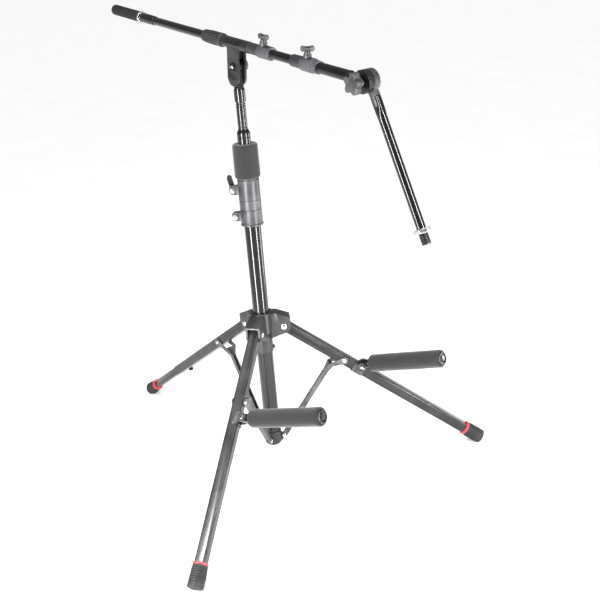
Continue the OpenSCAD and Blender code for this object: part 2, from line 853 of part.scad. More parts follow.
module arm_bolt_right() {
    arm_bolt("right");
}

module arm_tube_left() {
    arm_tube("left");
}

module arm_tube_right() {
    arm_tube("right");
}

module arm_grip_left() {
    arm_grip("left");
}

module arm_grip_right() {
    arm_grip("right");
}

module arm_cap_left() {
    arm_cap("left");
}

module arm_cap_right() {
    arm_cap("right");
}

// ---- Yoke and boom sleeve ----

// Turns in the riser's swaged top and ends in the flat tongue that the boom tilts on.
module yoke() {
    low = riser_top + yoke_low;
    sleeve_top = yoke_z - plate_low - 2;
    color([0.1, 0.1, 0.11]) difference() {
        union() {
            translate([0, 0, riser_top - spigot_len])
                cylinder(r = swage_d / 2 - riser_wall - slide_gap, h = spigot_len + 1);
            translate([0, 0, riser_top + side_gap / 2]) cylinder(r = swage_d / 2 - 0.6, h = yoke_low + 1);
            translate([0, 0, low]) cylinder(r = yoke_sleeve_r, h = sleeve_top - low - 5);
            translate([0, 0, sleeve_top - 5]) cylinder(r1 = yoke_sleeve_r, r2 = yoke_sleeve_r - 2, h = 5);
            rotate([90, 0, 90]) translate([0, 0, -yoke_tongue / 2]) linear_extrude(yoke_tongue) {
                translate([-8.5, sleeve_top - 5]) square([17, yoke_z - sleeve_top + 5]);
                translate([0, yoke_z]) circle(12);
            }
        }
        translate([0, 0, yoke_z]) rod(tilt_bolt_d + 2 * pin_gap, -30, 30);
    }
}

// One on each side of the tongue.
module tilt_washers() {
    color([0.5, 0.5, 0.52]) translate([0, 0, yoke_z]) for (s = [-1, 1])
        translate([s * (yoke_tongue + yoke_gap) / 2, 0, 0]) difference() {
            rod(20, -yoke_gap / 2 + 0.05, yoke_gap / 2 - 0.05);
            rod(tilt_bolt_d + 2 * pin_gap, -5, 5);
        }
}

// The sleeve that the boom slides through, with the two plates that straddle the tongue.
module boom_sleeve() {
    color([0.11, 0.11, 0.12]) difference() {
        union() {
            on_boom_axis() rod(sleeve_d, -sleeve_back, sleeve_front);
            on_boom() for (y = [plate_in, -plate_out]) plate_xz(y, y + plate_t) {
                translate([-plate_r, plate_r - plate_low])
                    square([2 * plate_r, plate_low - plate_r + boom_rise]);
                translate([0, plate_r - plate_low]) circle(plate_r);
            }
        }
        on_boom_axis() rod(boom_d + 2 * slide_gap, -sleeve_back - 1, sleeve_front + 1);
        on_boom() cross_rod(tilt_bolt_d, 60);
    }
}

// A hex head shows on the left plate; the lever's boss turns on the right end.
module tilt_bolt() {
    color([0.8, 0.81, 0.82]) on_boom() {
        translate([0, (lever_boss_t + side_gap) / 2, 0])
            cross_rod(tilt_bolt_d, 2 * plate_out + lever_boss_t + side_gap);
        translate([0, -plate_out - 2.5, 0]) hex_head(13, 5);
        translate([0, plate_out + lever_boss_t + side_gap + 1.5, 0]) cross_rod(12, 3);
    }
}

module tilt_lever() {
    mid = plate_out + side_gap / 2 + lever_boss_t / 2;
    color([0.4, 0.4, 0.42]) on_boom() translate([0, mid, 0]) difference() {
        union() {
            cross_rod(20, lever_boss_t - side_gap);
            plate_xz(-lever_boss_t / 2 + 1, lever_boss_t / 2 - 1) {
                difference() {
                    circle(lever_r);
                    translate([lever_r * 0.7, 0]) circle(lever_r * 1.08);
                }
                for (s = [-1, 1]) translate([0, s * (lever_r - 3.5)]) circle(3.5, $fn = 32);
            }
        }
        cross_rod(tilt_bolt_d + 2 * pin_gap, lever_boss_t + 2);
    }
}

// A knurled collar that twists to grip the boom tube behind the sleeve.
module rear_clutch() {
    flutes = 12;
    over = clutch_back - clutch_over - 2;
    color([0.42, 0.42, 0.44]) on_boom_axis() difference() {
        turned_x([
            [-clutch_back, boom_bore_r], [-clutch_back, sleeve_r - 0.5], [-clutch_back + 3, sleeve_r + 1],
            [-clutch_back + 26, sleeve_r + 2.2], [-sleeve_back + clutch_over - 3, sleeve_r + 2.2],
            [-sleeve_back + clutch_over, sleeve_r + 1.2], [-sleeve_back + clutch_over, sleeve_r + slide_gap],
            [-sleeve_back - side_gap, sleeve_r + slide_gap], [-sleeve_back - side_gap, boom_bore_r]
        ]);
        for (i = [0:flutes - 1]) rotate([i * 360 / flutes, 0, 0]) translate([0, 0, sleeve_r + 3.6])
            rod(4, -clutch_back - 1, -over);
    }
}

// A round clamp with a threaded boss for its knob.
module clamp_ring(from, len, r, knob_at, boss_h) {
    difference() {
        union() {
            turned_x([
                [from, 0], [from, r - clamp_back], [knob_at - 13, r - clamp_back + 0.4], [knob_at - 8, r],
                [from + len - 1, r], [from + len, r - 1], [from + len, 0]
            ]);
            translate([knob_at, 0, 0]) cylinder(d = 14, h = r + boss_h);
        }
        rod(boom_d + 2 * slide_gap, from - 1, from + len + 1);
        translate([knob_at, 0, boom_bore_r]) cylinder(d = knob_stem_d, h = r + boss_h);
    }
}

// A T-handled screw: stem in the boss, turning on its own axis.
module wing_knob(wing_len, wing_h) {
    top = clamp_r_out + boss_h;
    translate([0, 0, boom_bore_r + 0.3])
        cylinder(d = knob_stem_d - 2 * pin_gap, h = top + side_gap - boom_bore_r);
    translate([0, 0, top + side_gap]) cylinder(d1 = 12, d2 = 9, h = 6);
    translate([0, 0, top + side_gap + 5]) rotate([90, 0, 0]) translate([0, 0, -3]) linear_extrude(6) {
        translate([-wing_len / 2 + 3, 0]) square([wing_len - 6, wing_h]);
        for (s = [-1, 1]) translate([s * (wing_len / 2 - 4), wing_h / 2]) circle(wing_h / 2 + 0.5, $fn = 32);
    }
}

module boom_clamp() {
    color([0.4, 0.4, 0.42]) on_boom_axis()
        clamp_ring(sleeve_front, boom_clamp_len, clamp_r_out, clamp_knob_x, boss_h);
}

module boom_clamp_knob() {
    color([0.4, 0.4, 0.42]) on_boom_axis() translate([clamp_knob_x, 0, 0]) wing_knob(26, 9);
}

module boom_tube() {
    color([0.08, 0.08, 0.09]) on_boom_axis() difference() {
        rod(boom_d, -rear_reach + 6, boom_tube_front);
        rod(boom_d - 3, -rear_reach, boom_tube_front + 1);
    }
}

// Ribbed weight on the boom's rear end.
module counterweight() {
    ribs = 16;
    color([0.1, 0.1, 0.11]) on_boom_axis() difference() {
        turned_x([
            [-rear_reach, 0], [-rear_reach, weight_d / 2 - 2], [-rear_reach + 2, weight_d / 2],
            [-rear_reach + weight_len - 2, weight_d / 2], [-rear_reach + weight_len, weight_d / 2 - 1],
            [-rear_reach + weight_len, 0]
        ]);
        rod(boom_d, -rear_reach + 6, 0);
        for (i = [0:ribs - 1]) rotate([i * 360 / ribs, 0, 0]) translate([0, 0, weight_d / 2 + 0.5])
            rod(2, -rear_reach + 8, -rear_reach + weight_len - 8);
    }
}

// Bright ring and stepped collar that lock the weight on the tube.
module weight_collar() {
    from = -rear_reach + weight_len;
    color([0.6, 0.6, 0.62]) on_boom_axis() difference() {
        turned_x([
            [from, 0], [from, weight_d / 2 + 1],
            [from + 5, weight_d / 2 + 1], [from + 5, weight_d / 2 - 1.2],
            [from + weight_collar_len - 22, weight_d / 2 - 1.2], [from + weight_collar_len, boom_r + 1],
            [from + weight_collar_len, 0]
        ]);
        rod(boom_d, from - 1, from + weight_collar_len + 1);
    }
}

module front_clamp() {
    ring_from = front_clamp_x + front_clamp_len;
    color([0.42, 0.42, 0.44]) on_boom_axis() difference() {
        union() {
            clamp_ring(front_clamp_x, front_clamp_len, clamp_r_out + 0.6, front_knob_x, boss_h - 0.6);
            rod(front_d + 3.6, ring_from, ring_from + front_ring_len);
        }
        rod(front_d, ring_from, ring_from + front_ring_len + 1);
        rod(boom_d + 2 * slide_gap, front_clamp_x - 1, ring_from + 1);
    }
}

module front_clamp_knob() {
    color([0.4, 0.4, 0.42]) on_boom_axis() translate([front_knob_x, 0, 0])
        rotate([0, 0, 60]) wing_knob(24, 9);
}

module front_tube() {
    color([0.08, 0.08, 0.09]) on_boom_axis() difference() {
        rod(front_d, front_clamp_x + front_clamp_len, front_tube_end);
        rod(boom_d + 2 * slide_gap, front_clamp_x, front_tube_end + 1);
    }
}

// ---- Elbow and end arm ----

// The boom's half of the elbow: a plug in the front tube and a friction disc.
module elbow_base() {
    color([0.12, 0.12, 0.13]) on_boom_axis() difference() {
        union() {
            rod(boom_d, front_reach - elbow_plug, front_reach - disc_r);
            rod(front_d + 1, front_tube_end, front_tube_end + 4);
            translate([front_tube_end + 3, base_x, -7]) cube([elbow_plug - 9, disc_t, 14]);
            translate([front_reach, base_x + disc_t / 2, 0]) cross_rod(disc_d, disc_t);
        }
        translate([front_reach - disc_r - 12, base_x + disc_t, -disc_r]) cube([disc_d + 13, 30, disc_d]);
        translate([front_reach, 0, 0]) cross_rod(elbow_bolt_d + 2 * pin_gap, 60);
    }
}

module elbow_washer() {
    color([0.78, 0.79, 0.8]) on_elbow() translate([0, base_x + disc_t + washer_t / 2, 0]) difference() {
        cross_rod(disc_d - 3, washer_t - 0.1);
        cross_rod(elbow_bolt_d + 2 * pin_gap, 10);
    }
}

// The end arm's half: a disc with a neck that the arm's flattened end fits over.
module elbow_disc() {
    color([0.12, 0.12, 0.13]) on_elbow() difference() {
        union() {
            translate([0, arm_x, 0]) cross_rod(disc_d, disc_t);
            translate([disc_r - 6, arm_x - disc_t / 2, -7]) cube([14, disc_t, 14]);
            translate([0, arm_x, 0]) rod(end_d - 3, disc_r, disc_r + 24);
        }
        translate([0, arm_x, 0]) cross_rod(elbow_bolt_d + 2 * pin_gap, 60);
    }
}

// Star knob; its bolt runs through both discs and screws into the arm's one.
module elbow_knob() {
    bolt_end = arm_disc_x + disc_t - 1;
    color([0.4, 0.4, 0.42]) on_elbow() {
        translate([0, (knob_x + bolt_end) / 2, 0]) cross_rod(elbow_bolt_d, bolt_end - knob_x);
        translate([0, (knob_x + base_x - side_gap / 2) / 2, 0])
            cross_rod(16, base_x - side_gap / 2 - knob_x);
        translate([0, knob_x - knob_t / 2, 0]) {
            cross_rod(2 * (knob_r - lobe_r), knob_t);
            for (i = [0:knob_lobes - 1]) rotate([0, i * 360 / knob_lobes, 0])
                translate([knob_r - lobe_r, 0, 0]) cross_rod(2 * lobe_r, knob_t - 2);
        }
    }
}

module end_arm() {
    color([0.07, 0.07, 0.08]) on_elbow() translate([0, arm_x, 0]) difference() {
        rod(end_d, tube_from, tube_to);
        rod(end_d - 3, tube_from - 1, tube_to + 1);
    }
}

// Hexagon flange with the standard microphone thread beyond it.
module mic_stud() {
    color([0.7, 0.71, 0.72]) on_elbow() translate([0, arm_x, 0]) {
        rod(end_d - 3, tube_to - 16, tube_to);
        translate([tube_to, 0, 0]) rotate([0, 90, 0]) cylinder(d = hex_w, h = hex_t, $fn = 6);
        rod(stud_d, tube_to + hex_t, end_len);
    }
}

in_frame() mast_tube();
in_frame() strut_bracket();
in_frame() strut_base_pins();
in_frame() mast_clamp_body();
in_frame() mast_clamp_bands();
in_frame() mast_clamp_bolts();
in_frame() mast_clamp_lever();
in_frame() riser_tube();
in_frame() riser_guide();
in_frame() mast_pad();
in_frame() leg_hub();
in_frame() hub_screw();
in_frame() leg_pivot_pins();
in_frame() leg_tube_left();
in_frame() leg_tube_right();
in_frame() leg_tube_rear();
in_frame() rear_extension();
in_frame() rear_leg_knob();
in_frame() foot_left();
in_frame() foot_right();
in_frame() foot_rear();
in_frame() foot_ring_left();
in_frame() foot_ring_right();
in_frame() foot_ring_rear();
in_frame() strut_left();
in_frame() strut_right();
in_frame() strut_rear();
in_frame() strut_pin_left();
in_frame() strut_pin_right();
in_frame() strut_pin_rear();
in_frame() arm_bracket_left();
in_frame() arm_bracket_right();
in_frame() arm_bolt_left();
in_frame() arm_bolt_right();
in_frame() arm_tube_left();
in_frame() arm_tube_right();
in_frame() arm_grip_left();
in_frame() arm_grip_right();
in_frame() arm_cap_left();
in_frame() arm_cap_right();
in_frame() yoke();
in_frame() tilt_washers();
in_frame() tilt_bolt();
in_frame() tilt_lever();
in_frame() boom_sleeve();
in_frame() rear_clutch();
in_frame() boom_clamp();
in_frame() boom_clamp_knob();
in_frame() boom_tube();
in_frame() counterweight();
in_frame() weight_collar();
in_frame() front_clamp();
in_frame() front_clamp_knob();
in_frame() front_tube();
in_frame() elbow_base();
in_frame() elbow_washer();
in_frame() elbow_disc();
in_frame() elbow_knob();
in_frame() end_arm();
in_frame() mic_stud();
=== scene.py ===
# %% [markdown]
# # A boom microphone stand with two padded arms
# The stand is coated steel tube, moulded nylon, pressed steel, rubber and foam. Its solid
# model fixes every size and every joint. This lesson builds what the eye sees around that
# model: softened edges, ribs, knurls, threads, foam, and a material for each real finish.
# The model could be remade freely by hand, but then nothing would fold in the right place.

# %% Load the fixed frame
import json
import math

import bmesh
import bpy
import numpy as np
from mathutils import Matrix, Vector, noise


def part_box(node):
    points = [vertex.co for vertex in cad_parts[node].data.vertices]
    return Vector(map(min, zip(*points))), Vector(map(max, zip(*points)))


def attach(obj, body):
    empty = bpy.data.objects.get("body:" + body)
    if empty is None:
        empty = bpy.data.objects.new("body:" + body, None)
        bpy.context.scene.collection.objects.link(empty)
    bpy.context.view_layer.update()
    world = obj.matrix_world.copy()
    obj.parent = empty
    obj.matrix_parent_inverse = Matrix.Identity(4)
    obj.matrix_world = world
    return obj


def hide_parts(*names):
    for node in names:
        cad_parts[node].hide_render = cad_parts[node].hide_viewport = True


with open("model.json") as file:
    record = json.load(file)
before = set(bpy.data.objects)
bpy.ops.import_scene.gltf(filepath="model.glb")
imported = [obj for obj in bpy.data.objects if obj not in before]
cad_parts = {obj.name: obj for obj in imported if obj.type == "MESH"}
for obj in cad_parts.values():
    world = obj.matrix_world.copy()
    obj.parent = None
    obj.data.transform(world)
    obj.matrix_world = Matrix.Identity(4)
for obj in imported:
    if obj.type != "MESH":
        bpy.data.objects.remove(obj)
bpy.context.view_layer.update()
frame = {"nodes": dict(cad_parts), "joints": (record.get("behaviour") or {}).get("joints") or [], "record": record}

MM = 0.001

# %% [markdown]
# ## Where each piece goes
# Each piece is made lying along X in millimetres, as it would be on a lathe or a bench, and
# then carried to its place. The places could be typed in, but the joints and mounts of the
# record already hold them, so they are read from there and follow the model if it changes.

# %% Places from the joints and the mounts
joints = {joint["name"]: joint for joint in frame["joints"]}
mounts = {mount["name"]: mount for mount in frame["record"]["mounts"]}
UP = Vector((0, 0, 1))


def basis(origin, along, near_z):
    """A place with X along a direction and Z as near as it can be to another, in millimetres."""
    x = Vector(along).normalized()
    z = (Vector(near_z) - x * x.dot(Vector(near_z))).normalized()
    place = Matrix((x, z.cross(x), z)).transposed().to_4x4()
    place.translation = Vector(origin)
    return place @ Matrix.Scale(MM, 4)


def points_of(node):
    return np.array([v.co for v in frame["nodes"][node].data.vertices], float)


def axis_of(start, node):
    """The direction of a straight node, seen from a point on its axis."""
    points = points_of(node) - np.array(start)
    axis = points.mean(0) / np.linalg.norm(points.mean(0))
    for _ in range(6):
        reach = points @ axis
        rim = points[reach > reach.max() - MM]
        axis = rim.mean(0) / np.linalg.norm(rim.mean(0))
    return Vector(axis)


def joint_point(name):
    return Vector(joints[name]["pos_m"])


low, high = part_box("mast_tube")
mast_axis = Vector(((low.x + high.x) / 2, (low.y + high.y) / 2, 0))


def span(node, place):
    """Where a node starts and ends along X in a place, and its widest radius round it, in mm."""
    points = [place.inverted() @ Vector(p) for p in points_of(node)]
    along = [p.x for p in points]
    return min(along), max(along), max(math.hypot(p.y, p.z) for p in points)


mast_up = basis(mast_axis, UP, (1, 0, 0))
SIDES = ("left", "right", "rear")
legs, leg_lengths = {}, {}
for side in SIDES:
    pivot = joint_point(f"leg_{side}_fold")
    tube = "rear_extension" if side == "rear" else f"leg_tube_{side}"
    legs[side] = basis(pivot, axis_of(pivot, tube), UP)
    leg_axis = Vector(legs[side].col[0][:3]).normalized()
    leg_lengths[side] = (points_of(f"foot_{side}") @ np.array(leg_axis)).max() / MM \
        - pivot.dot(leg_axis) / MM
arms = {}
for side in SIDES[:2]:
    swing = joints[f"arm_{side}_swing"]
    arms[side] = basis(swing["pos_m"], axis_of(swing["pos_m"], f"arm_tube_{side}"), swing["axis"])
boom_axis = Vector(joints["boom_reach"]["axis"])
boom = basis(joint_point("rear_clutch_turn"), boom_axis, UP)
elbow = basis(joint_point("end_arm_tilt"), mounts["mic_thread"]["axis"], boom_axis)
print("legs, mm:", {side: round(length, 1) for side, length in leg_lengths.items()})

# %% [markdown]
# ## The camera
# The stand is seen from in front and to its left, a little from above, with a longish lens.
# It is placed first, because everything that follows is judged through it.

# %% Camera
CAMERA_FROM_MAST = Vector((-1.0635, -1.5253, 1.0793))
CAMERA_COLUMNS = ((0.7745, -0.6279, -0.0773), (0.2828, 0.2343, 0.9301),
                  (-0.5659, -0.7422, 0.3590))
camera_data = bpy.data.cameras.new("camera")
camera_data.lens = 60.2
camera_data.sensor_width = 36
camera = bpy.data.objects.new("camera", camera_data)
camera.matrix_world = Matrix.Translation(mast_axis + CAMERA_FROM_MAST) @ \
    Matrix(CAMERA_COLUMNS).transposed().to_4x4()
bpy.context.scene.collection.objects.link(camera)
bpy.context.scene.camera = camera
print("camera at", tuple(round(v, 3) for v in camera.location))

# %% [markdown]
# ## How a finish is made
# Every surface here is one Principled shader. What differs is measured on the real thing:
# a colour that drifts over patches, a roughness that drifts with it, and a fine relief.
# The three patterns could each be their own function; one is enough when the relief can be
# a smooth ripple, as in paint, or cells, as in foam. Sizes are real ones in millimetres.

# %% Colour, nodes and surfaces
def linear(code):
    """An sRGB hex code as linear red, green, blue, alpha."""
    parts = [int(code[i:i + 2], 16) / 255 for i in (1, 3, 5)]
    return [p / 12.92 if p <= 0.04045 else ((p + 0.055) / 1.055) ** 2.4 for p in parts] + [1]


def add(material, kind, settings=(), links=()):
    """Adds a node; settings go to its properties or sockets, links are socket: (node, output)."""
    node = material.node_tree.nodes.new(kind)
    for key, value in dict(settings).items():
        if isinstance(key, str) and hasattr(node, key):
            setattr(node, key, value)
        else:
            node.inputs[key].default_value = value
    for key, (source, output) in dict(links).items():
        material.node_tree.links.new(source.outputs[output], node.inputs[key])
    return node


FACTOR, COLOUR_A, COLOUR_B, COLOUR_OUT = 0, 6, 7, 2     # sockets of a Mix node set to colour


def surface(name, dark, light, rough, patch_mm, relief_mm, depth_mm, cells=False, edge_highlight=None,
            **shader):
    """A material whose colour and roughness drift over patches, with relief of a real depth and optional painted
    edge highlights.
    """
    made = bpy.data.materials.new(name)
    made.use_nodes = True
    made.node_tree.nodes.clear()
    where = add(made, "ShaderNodeTexCoord")
    patch = add(made, "ShaderNodeTexNoise", {"Scale": 1 / (patch_mm * MM), "Detail": 4.0},
                {"Vector": (where, "Object")})
    spread = add(made, "ShaderNodeMapRange", {"From Min": 0.3, "From Max": 0.7},
                 {"Value": (patch, 0)})
    tint = add(made, "ShaderNodeMix",
               {"data_type": "RGBA", COLOUR_A: linear(dark), COLOUR_B: linear(light)},
               {FACTOR: (spread, 0)})
    colour = (tint, COLOUR_OUT)
    polish = add(made, "ShaderNodeMapRange", {"To Min": rough[0], "To Max": rough[1]},
                 {"Value": (spread, 0)})
    if cells:
        relief = add(made, "ShaderNodeTexVoronoi",
                     {"feature": "SMOOTH_F1", "Scale": 1 / (relief_mm * MM)},
                     {"Vector": (where, "Object")})
        pits = add(made, "ShaderNodeMapRange", {"From Min": 0.1, "From Max": 0.6, "To Min": 0.62},
                   {"Value": (relief, "Distance")})
        shade = add(made, "ShaderNodeMix",
                    {"data_type": "RGBA", "blend_type": "MULTIPLY", FACTOR: 1.0},
                    {COLOUR_A: colour, COLOUR_B: (pits, 0)})
        colour = (shade, COLOUR_OUT)
    else:
        relief = add(made, "ShaderNodeTexNoise", {"Scale": 1 / (relief_mm * MM), "Detail": 2.0},
                     {"Vector": (where, "Object")})
    # Painted highlight: sharp convex edges, found by pointiness, are mixed towards a lighter colour, as if they
    # caught the light.
    if edge_highlight:
        shape = add(made, "ShaderNodeNewGeometry")
        edge = add(made, "ShaderNodeMapRange", {"From Min": 0.52, "From Max": 0.6, "To Max": 0.55},
                   {"Value": (shape, "Pointiness")})
        highlight_mask = add(made, "ShaderNodeMath", {"operation": "MULTIPLY"},
                     {0: (edge, 0), 1: (spread, 0)})
        highlight_mix = add(made, "ShaderNodeMix", {"data_type": "RGBA", COLOUR_B: linear(edge_highlight)},
                   {FACTOR: (highlight_mask, 0), COLOUR_A: colour})
        colour = (highlight_mix, COLOUR_OUT)
    bump = add(made, "ShaderNodeBump", {"Distance": depth_mm * MM}, {"Height": (relief, 0)})
    skin = add(made, "ShaderNodeBsdfPrincipled", shader,
               {"Base Color": colour, "Roughness": (polish, 0), "Normal": (bump, 0)})
    add(made, "ShaderNodeOutputMaterial", links={"Surface": (skin, 0)})
    return made


print("finishes take: dark, light, roughness range, patch, relief, depth")

# %% [markdown]
# ## The finishes
# Coated steel comes twice: the mast and boom are in a gloss powder coat that throws long
# clean highlights, and the legs and pressed pieces in a satin one. The clamps and knobs are
# glass-filled nylon in two greys, with a fine spark-eroded grain from the mould.

# %% Coated and plated metals
# Gloss powder coat: near black, with the faint orange peel that baked powder always has.
GLOSS_COAT = surface("gloss powder coat on steel", "#060607", "#0b0b0c", (0.16, 0.22), 40, 3.5,
                     0.0015, IOR=1.5, **{"Coat Weight": 0.5, "Coat Roughness": 0.05,
                                         "Specular IOR Level": 0.3})
# Satin powder coat: the same powder with a matting agent, so a highlight is broad and soft.
# Its sharp edges get a painted highlight in dark grey.
SATIN_COAT = surface("satin powder coat on steel", "#050506", "#09090a", (0.2, 0.26), 35, 1.8,
                     0.006, edge_highlight="#3a3a3b", IOR=1.5,
                     **{"Coat Weight": 0.25, "Coat Roughness": 0.15, "Specular IOR Level": 0.25})
# Stoved enamel on pressings: thinner than powder, with a painted highlight lightening its edges.
ENAMEL = surface("stoved enamel on pressed steel", "#0c0c0d", "#111112", (0.3, 0.4), 18, 1.5,
                 0.012, edge_highlight="#6b6b6d", IOR=1.5, **{"Coat Weight": 0.2, "Coat Roughness": 0.25})
# Bright zinc plate on rivets, bolts and washers: a blue-white metal, slightly streaky.
ZINC = surface("bright zinc plate", "#b4b6ba", "#d6d8da", (0.16, 0.3), 4, 1.0, 0.008,
               Metallic=1.0)
# Nickel plate on the rings: warmer and smoother than zinc.
NICKEL = surface("bright nickel plate", "#c3c0ba", "#d9d7d2", (0.1, 0.18), 8, 1.5, 0.004,
                 Metallic=1.0)
METALS = (GLOSS_COAT, SATIN_COAT, ENAMEL, ZINC, NICKEL)
print("metals:", *(made.name for made in METALS), sep=" | ")

# %% Plastics, rubber and foam
# Mould grain is 0.1 mm across on the real pieces; it is drawn at about 1 mm so that it shows.
# Both nylons get a painted highlight on their sharp edges.
GREY_NYLON = surface("grey glass-filled nylon", "#1f2022", "#252628", (0.34, 0.44), 45, 0.9,
                     0.02, edge_highlight="#5a5b5e", IOR=1.53)
BLACK_NYLON = surface("black glass-filled nylon", "#0d0d0e", "#121213", (0.3, 0.4), 40, 0.9,
                      0.02, edge_highlight="#3c3c3d", IOR=1.53)
GLOSS_ABS = surface("moulded black ABS", "#0c0c0d", "#111112", (0.2, 0.28), 20, 1.2, 0.006,
                    IOR=1.54)
# Nitrile foam tube: its cells are about 0.3 mm across and are drawn at 1.6 mm, so that they show.
FOAM = surface("closed-cell nitrile foam", "#19191a", "#1f1f20", (0.82, 0.96), 9, 1.6, 0.35,
               cells=True, IOR=1.5, **{"Sheen Weight": 0.25, "Sheen Roughness": 0.5,
                                       "Specular IOR Level": 0.25})
RUBBER = surface("moulded black rubber", "#0f0f10", "#151516", (0.55, 0.75), 10, 1.1, 0.04,
                 IOR=1.52)
RED_PVC = surface("red soft PVC", "#c32735", "#d93442", (0.35, 0.45), 6, 1.2, 0.02, IOR=1.53,
                  **{"Subsurface Weight": 0.08, "Subsurface Radius": (0.004, 0.001, 0.001),
                     "Subsurface Scale": 0.5})
FIBRE = surface("pressed friction fibre", "#2f2f30", "#3d3d3e", (0.7, 0.85), 3, 0.8, 0.03)
POLYMERS = (GREY_NYLON, BLACK_NYLON, GLOSS_ABS, FOAM, RUBBER, RED_PVC, FIBRE)
print("polymers:", *(made.name for made in POLYMERS), sep=" | ")

# %% [markdown]
# ## Ways to shape a piece
# Most of the stand was turned, moulded round a core, or cut from sheet. Turned pieces are
# profiles spun about X, with their corners rounded as a real tool leaves them. A profile may
# also ripple as it goes round, which gives knurls, flutes, hexagons and threads from one
# function. Moulded and pressed pieces start from a copy of their exact solid, cleaned back
# to whole faces, and only their edges are rounded. Carving the edges by hand would be slower
# and would drift from the sizes.

# %% Profiles and spinning
def rounded(corners, radius, steps=4):
    """An open line of (x, r) corners with each inner corner rounded, as far as its sides allow."""
    line = [corners[0]]
    for before, here, after in zip(corners, corners[1:], corners[2:]):
        p, a, b = Vector(here), Vector(before), Vector(after)
        cut = min(radius, (a - p).length * 0.45, (b - p).length * 0.45)
        start, end = p + (a - p).normalized() * cut, p + (b - p).normalized() * cut
        for i in range(steps + 1):
            t = i / steps
            line.append(tuple(start * (1 - t) ** 2 + p * 2 * t * (1 - t) + end * t * t))
    return line + [corners[-1]]


def turned(profile, around=64, ripple=None, closed=False):
    """Spins a profile about X; ripple(x, turn, r) may move a point in or out as it goes round."""
    shape = bmesh.new()
    rings = []
    for x, r in profile:
        if r < 1e-6:
            rings.append([shape.verts.new((x, 0, 0))])
            continue
        turns = [2 * math.pi * k / around for k in range(around)]
        reach = [ripple(x, turn, r) if ripple else r for turn in turns]
        rings.append([shape.verts.new((x, q * math.cos(t), q * math.sin(t)))
                      for t, q in zip(turns, reach)])
    pairs = list(zip(rings, rings[1:])) + ([(rings[-1], rings[0])] if closed else [])
    for a, b in pairs:
        for k in range(around):
            after = (k + 1) % around
            corner = (a[k % len(a)], a[after % len(a)], b[after % len(b)], b[k % len(b)])
            corner = list(dict.fromkeys(corner))
            if len(corner) > 2:
                shape.faces.new(corner)
    return shape


def hexagon(width):
    """A ripple that cuts a turned piece down to six flats, this far apart."""
    def cut(x, turn, r):
        return min(r, width / 2 / math.cos((turn + math.pi / 6) % (math.pi / 3) - math.pi / 6))
    return cut


def slab(outline, low, high, edge, segments=3):
    """A flat piece in the XZ plane from Y low to Y high, with its edges rounded."""
    shape = bmesh.new()
    face = shape.faces.new([shape.verts.new((x, low, z)) for x, z in outline])
    risen = bmesh.ops.extrude_face_region(shape, geom=[face])["geom"]
    bmesh.ops.translate(shape, verts=[v for v in risen if isinstance(v, bmesh.types.BMVert)],
                        vec=(0, high - low, 0))
    round_edges(shape, edge, segments)
    return shape


def round_edges(shape, width, segments=3, angle=28):
    """Bevels every edge sharper than the angle."""
    bmesh.ops.recalc_face_normals(shape, faces=shape.faces)
    sharp = [e for e in shape.edges if len(e.link_faces) == 2
             and e.calc_face_angle(0) > math.radians(angle)]
    bmesh.ops.bevel(shape, geom=sharp, offset=width, segments=segments, profile=0.5,
                    affect="EDGES", clamp_overlap=True, miter_outer="ARC", miter_inner="ARC")


def moved(shape, offset=(0, 0, 0), turn=(0, 0, 0)):
    """Turns a shape about X, Y and Z in degrees and then moves it, before it goes to its place."""
    for axis, angle in zip("XYZ", turn):
        shape.transform(Matrix.Rotation(math.radians(angle), 4, axis))
    shape.transform(Matrix.Translation(offset))
    return shape


def joined(*shapes):
    """Several shapes in one mesh, as a piece that was moulded or riveted together."""
    whole = shapes[0]
    for shape in shapes[1:]:
        part = bpy.data.meshes.new("part")
        shape.to_mesh(part)
        shape.free()
        whole.from_mesh(part)
        bpy.data.meshes.remove(part)
    return whole


print("shapers ready: rounded, turned, hexagon, slab, round_edges")

# %% Pieces and finished copies
slots = {part["node"]: part.get("material_slot") for part in frame["record"].get("subparts", [])}
body_of_node = {node: body for body, nodes in frame["record"]["behaviour"]["bodies"].items()
                for node in nodes}


def piece(name, shape, place, material, *nodes, body=None, sharp=38, slot=None):
    """Puts a shape in its place as a piece that rides on its body and stands for its nodes."""
    shape.transform(place)
    bmesh.ops.recalc_face_normals(shape, faces=shape.faces)
    mesh = bpy.data.meshes.new(name)
    shape.to_mesh(mesh)
    shape.free()
    mesh.materials.append(material)
    mesh.shade_smooth()
    mesh.set_sharp_from_angle(angle=math.radians(sharp))
    made = bpy.data.objects.new(name, mesh)
    bpy.context.scene.collection.objects.link(made)
    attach(made, body or body_of_node[nodes[0]])
    if nodes:
        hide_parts(*nodes)
    slot = slot or (slots.get(nodes[0]) if nodes else None)
    print(f"{name}: {len(mesh.polygons)} faces")
    return made


def solid_copy(node):
    """A CAD node's solid in metres, with its small triangles joined back into whole faces."""
    shape = bmesh.new()
    shape.from_mesh(frame["nodes"][node].data)
    bmesh.ops.remove_doubles(shape, verts=shape.verts, dist=0.002 * MM)
    bmesh.ops.dissolve_limit(shape, angle_limit=math.radians(0.6), verts=shape.verts,
                             edges=shape.edges)
    return shape


def eased(node, material, edge_mm, segments=2, angle=28):
    """A finished copy of a node with its edges eased by so many millimetres."""
    shape = solid_copy(node)
    round_edges(shape, edge_mm * MM, segments, angle)
    made = piece(f"{node}.eased", shape, Matrix.Identity(4), material, node)
    flatten = made.modifiers.new("weighted normals", "WEIGHTED_NORMAL")
    flatten.keep_sharp = True
    return made


def coat(node, material):
    """Keeps a CAD node as it is and gives it a finish."""
    for holder in frame["nodes"][node].material_slots:
        holder.material = material


# %% [markdown]
# ## Tubes
# The mast, the riser, the boom and the legs are seamless-looking tube, coated after cutting.
# The round ones are turned again at their own sizes, with a fine facet count, since a long
# gloss highlight shows every facet. The square ones are finished copies with eased ends.
# Rolled grooves ring the riser's shoulder and its swaged top, where the tube was necked.

